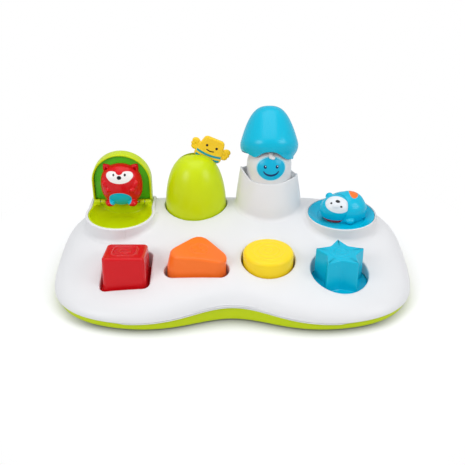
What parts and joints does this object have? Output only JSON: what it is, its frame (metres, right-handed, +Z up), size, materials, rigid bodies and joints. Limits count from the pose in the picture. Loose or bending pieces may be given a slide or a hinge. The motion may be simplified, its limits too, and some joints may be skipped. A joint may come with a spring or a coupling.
{
  "type": "pop up animal toy",
  "caption": "Baby pop-up activity toy: press-down shape buttons that open a lid, rock a bee, lift a snow creature's cap and spin a dish.",
  "frame": {"origin": "on the table, under the middle of the bounding box", "axes": "+X to the toy's right as the child sees it, +Y away from the child, +Z up"},
  "size_m": [0.39, 0.2119, 0.1717],
  "materials": {
    "white": "moulded ABS, soft gloss",
    "lime": "moulded ABS, soft gloss",
    "deep_green": "moulded ABS, soft gloss",
    "sky": "moulded ABS, gloss",
    "red": "moulded ABS, gloss",
    "orange": "moulded ABS, gloss",
    "yellow": "moulded ABS, gloss",
    "foot": "matt elastomer",
    "steel": "plated steel"
  },
  "bodies": {
    "case": {"bottom_shell": "lime", "top_cover": "white", "rubber_feet": "foot", "case_screws": "steel", "fox_tray": "lime", "bush_dome": "lime", "mountain_shell": "white", "spindle_bush": "white", "bee_bracket": "lime", "latch_pin": "steel", "triangle_lever_pin": "steel", "round_lever_pin": "steel", "bee_pivot_pin": "steel", "lid_hinge_pin": "steel", "cap_hinge_pin": "steel", "lid_spring": "steel", "square_spring": "steel", "star_spring": "steel"},
    "square_key": {"square_button": "red"},
    "latch": {"lid_latch": "lime"},
    "lid": {"lid_shell": "lime", "lid_liner": "deep_green", "fox_body": "red"},
    "triangle_key": {"triangle_button": "orange"},
    "triangle_rocker": {"triangle_lever": "lime"},
    "pushrod": {"bee_pushrod": "white"},
    "bee": {"bee_body": "yellow", "bee_arm": "yellow"},
    "round_key": {"round_button": "yellow"},
    "round_rocker": {"round_lever": "lime"},
    "creature": {"head_column": "white", "face_disc": "sky", "hair_tuft": "white"},
    "cap": {"snow_cap": "sky"},
    "star_key": {"star_button": "sky"},
    "rack": {"rack_slider": "white"},
    "pinion": {"drive_pinion": "orange"},
    "spinner": {"spindle": "steel", "spinner_dish": "sky", "cub_body": "sky", "cub_head": "sky", "spindle_screw": "steel"}
  },
  "joints": [
    {"name": "square_press", "type": "slide", "parent": "case", "child": "square_key", "axis": [0, 0, 1], "range_m": [-0.009, 0], "stiffness_N_per_m": 200, "springref_m": 0.01, "deforming": ["square_spring"]},
    {"name": "latch_turn", "type": "hinge", "parent": "case", "child": "latch", "pos_m": [-0.1234, -0.0042, 0.031], "axis": [1, 0, 0], "range_deg": [0, 2.6]},
    {"name": "lid_swing", "type": "hinge", "parent": "case", "child": "lid", "pos_m": [-0.1234, 0.0555, 0.063], "axis": [1, 0, 0], "range_deg": [0, 90], "stiffness_Nm_per_rad": 0.02, "springref_deg": -57.3},
    {"name": "triangle_press", "type": "slide", "parent": "case", "child": "triangle_key", "axis": [0, 0, 1], "range_m": [0, 0.009]},
    {"name": "triangle_rock", "type": "hinge", "parent": "case", "child": "triangle_rocker", "pos_m": [-0.048, 0.013, 0.017], "axis": [1, 0, 0], "range_deg": [-11.5, 0]},
    {"name": "pushrod_slide", "type": "slide", "parent": "case", "child": "pushrod", "axis": [0, 0, 1], "range_m": [-0.0107, 0]},
    {"name": "bee_rock", "type": "hinge", "parent": "case", "child": "bee", "pos_m": [-0.0425, 0.064, 0.0894], "axis": [0, 1, 0], "range_deg": [-47.8, 0]},
    {"name": "round_press", "type": "slide", "parent": "case", "child": "round_key", "axis": [0, 0, 1], "range_m": [0, 0.009]},
    {"name": "round_rock", "type": "hinge", "parent": "case", "child": "round_rocker", "pos_m": [0.038, -0.006, 0.017], "axis": [1, 0, 0], "range_deg": [-16.5, 0]},
    {"name": "creature_rise", "type": "slide", "parent": "case", "child": "creature", "axis": [0, 0, 1], "range_m": [-0.018, 0]},
    {"name": "cap_tip", "type": "hinge", "parent": "case", "child": "cap", "pos_m": [0.0415, 0.0898, 0.1053], "axis": [1, 0, 0], "range_deg": [0, 28.6]},
    {"name": "star_press", "type": "slide", "parent": "case", "child": "star_key", "axis": [0, 0, 1], "range_m": [-0.009, 0], "stiffness_N_per_m": 200, "springref_m": 0.01, "deforming": ["star_spring"]},
    {"name": "rack_slide", "type": "slide", "parent": "case", "child": "rack", "axis": [0, 1, 0], "range_m": [0, 0.0091]},
    {"name": "pinion_turn", "type": "hinge", "parent": "case", "child": "pinion", "pos_m": [0.1234, 0.0307, 0.011], "axis": [0, 0, 1], "range_deg": [-74.5, 0]},
    {"name": "spinner_turn", "type": "hinge", "parent": "case", "child": "spinner", "pos_m": [0.1234, 0.0307, 0.04], "axis": [0, 0, 1], "continuous": true}
  ],
  "couplings": [
    {"joint": "latch_turn", "follows": "square_press", "rad_per_m": -4.8481},
    {"joint": "triangle_rock", "follows": "triangle_press", "rad_per_m": -21.277},
    {"joint": "pushrod_slide", "follows": "triangle_press", "ratio": -1.1702},
    {"joint": "bee_rock", "follows": "triangle_press", "rad_per_m": -92.309},
    {"joint": "round_rock", "follows": "round_press", "rad_per_m": -31.25},
    {"joint": "creature_rise", "follows": "round_press", "ratio": -1.9906},
    {"joint": "cap_tip", "follows": "round_press", "rad_per_m": 55.269},
    {"joint": "rack_slide", "follows": "star_press", "ratio": -1},
    {"joint": "pinion_turn", "follows": "star_press", "rad_per_m": 142.86}
  ]
}
